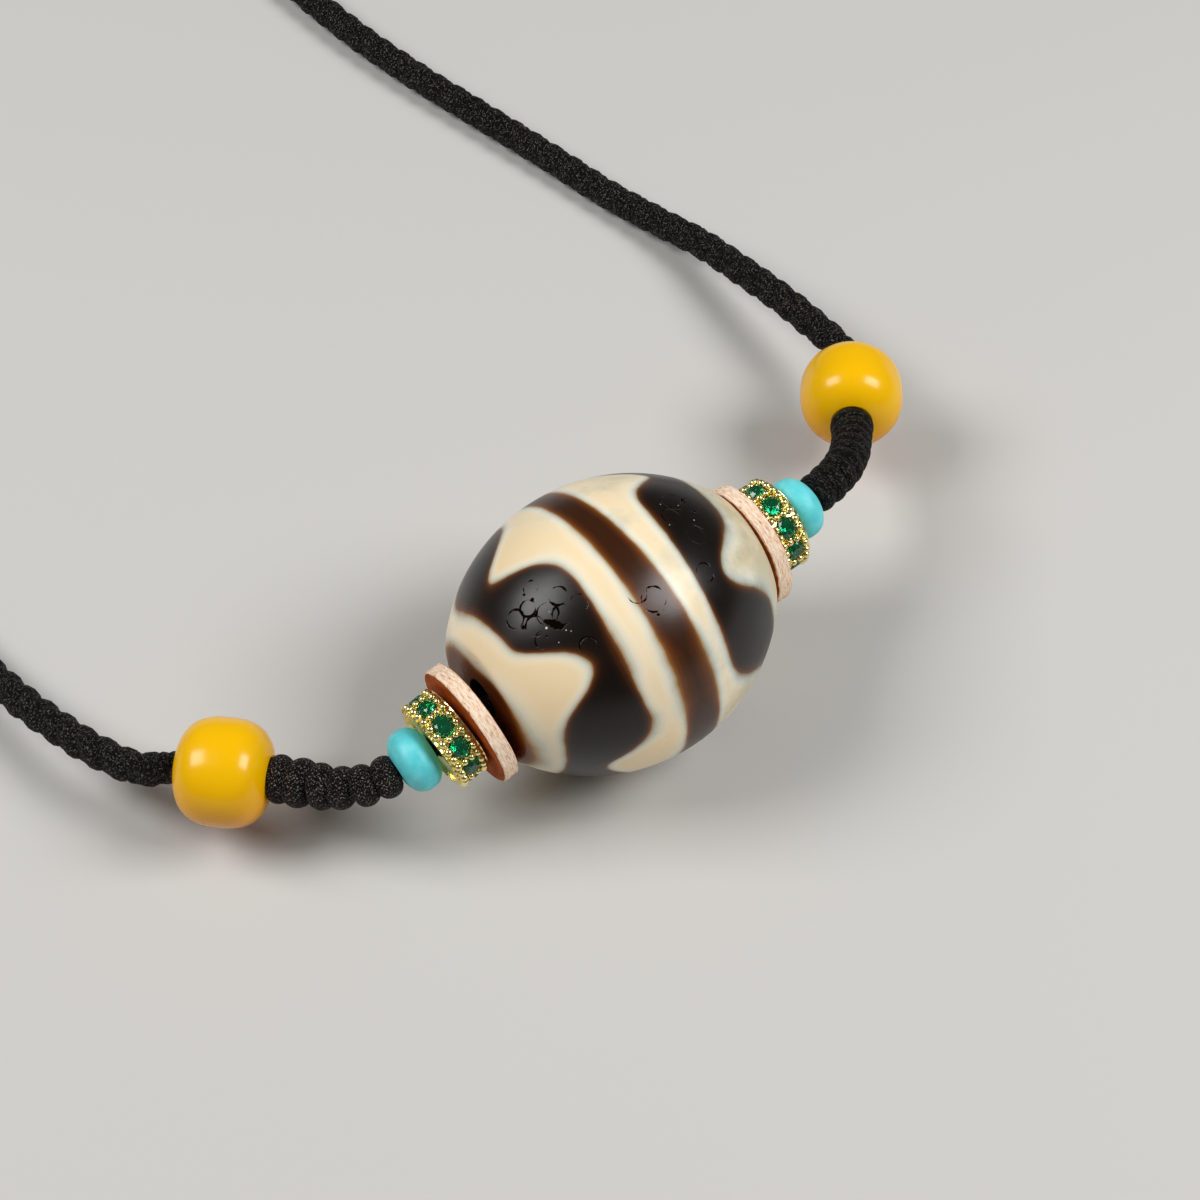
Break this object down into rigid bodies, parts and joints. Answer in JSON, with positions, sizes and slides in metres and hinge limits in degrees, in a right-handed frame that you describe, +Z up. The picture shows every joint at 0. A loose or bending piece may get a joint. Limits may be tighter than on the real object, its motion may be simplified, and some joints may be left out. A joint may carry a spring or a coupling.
{
  "type": "dzi bead necklace",
  "caption": "Necklace with one fat barrel dzi bead between leather washers, gem-set rings, turquoise rondelles, knotted necks and yellow beads on a braided black cord.",
  "frame": {"origin": "on the table, under the middle of the beaded strand between the two yellow beads' outer ends", "axes": "+X along the big bead from its left end to its right end, +Y towards the closing knot, +Z up from the table"},
  "size_m": [0.094, 0.2347, 0.027],
  "materials": {
    "etched_agate": "waxy polish, cream lines on dark brown",
    "leather": "smooth tan face, pale fibrous cut edge",
    "gilt_brass": "bright gold plating over cast grains",
    "green_stone": "faceted, clear green",
    "turquoise": "satin polish",
    "nylon_thread": "twisted black thread",
    "nylon_cord": "braided black cord with a silky sheen",
    "yellow_glass": "glossy, slightly translucent yellow"
  },
  "bodies": {
    "root": {"dzi_bead": "etched_agate", "leather_washer_left": "leather", "leather_washer_right": "leather", "stone_ring_left": "gilt_brass", "stone_ring_right": "gilt_brass", "turquoise_bead_left": "turquoise", "turquoise_bead_right": "turquoise", "core_thread": "nylon_thread", "knotted_neck_left": "nylon_cord", "knotted_neck_right": "nylon_cord", "yellow_bead_left": "yellow_glass", "yellow_bead_right": "yellow_glass", "cord_left": "nylon_cord", "cord_right": "nylon_cord", "closing_knot": "nylon_cord", "emerald_left_01": "green_stone", "emerald_left_02": "green_stone", "emerald_left_03": "green_stone", "emerald_left_04": "green_stone", "emerald_left_05": "green_stone", "emerald_left_06": "green_stone", "emerald_left_07": "green_stone", "emerald_left_08": "green_stone", "emerald_left_09": "green_stone", "emerald_left_10": "green_stone", "emerald_right_01": "green_stone", "emerald_right_02": "green_stone", "emerald_right_03": "green_stone", "emerald_right_04": "green_stone", "emerald_right_05": "green_stone", "emerald_right_06": "green_stone", "emerald_right_07": "green_stone", "emerald_right_08": "green_stone", "emerald_right_09": "green_stone", "emerald_right_10": "green_stone"}
  },
  "joints": []
}
